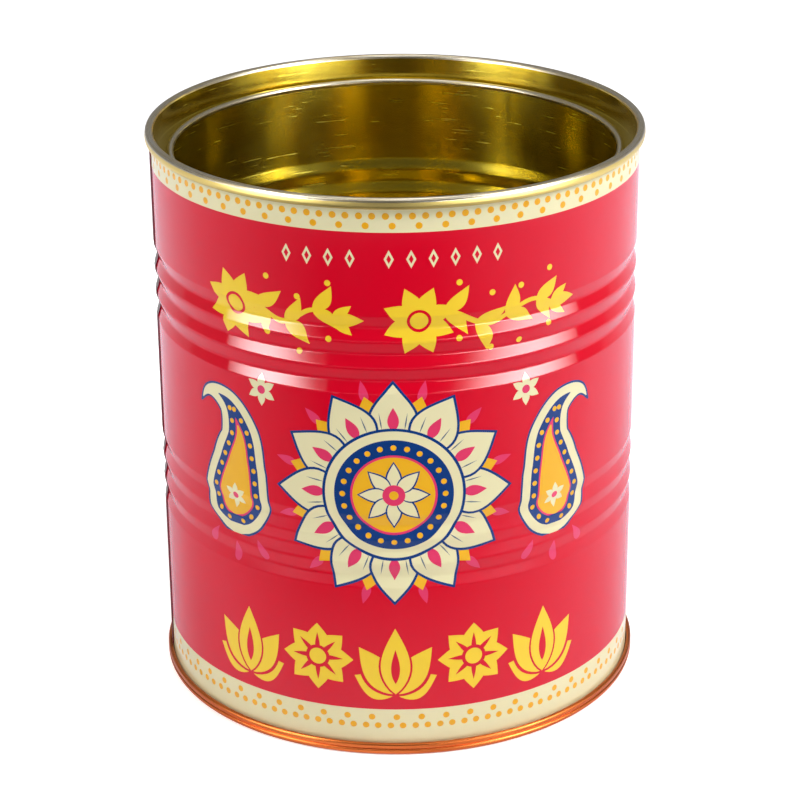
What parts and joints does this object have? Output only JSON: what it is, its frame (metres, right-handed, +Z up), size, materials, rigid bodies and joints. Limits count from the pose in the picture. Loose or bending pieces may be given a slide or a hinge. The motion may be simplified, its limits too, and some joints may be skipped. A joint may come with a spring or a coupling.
{
  "type": "spice tin",
  "caption": "Open-topped cylindrical tin with a beaded printed body, a double-seamed ring with a rolled inner edge and a recessed base.",
  "frame": {"origin": "centre of the plane the tin stands on", "axes": "+Z up along the tin's axis, -Y towards the front of the print, side seam near -X"},
  "size_m": [0.154, 0.154, 0.18],
  "materials": {
    "printed_tinplate": "gloss red, cream and yellow print over tinplate",
    "side_stripe": "dark lacquered lap seam",
    "gold_tinplate": "gold lacquered tinplate",
    "copper_tinplate": "copper lacquered tinplate"
  },
  "bodies": {
    "root": {"can_body": "printed_tinplate", "side_seam": "side_stripe", "top_ring": "gold_tinplate", "base_end": "copper_tinplate"}
  },
  "joints": []
}
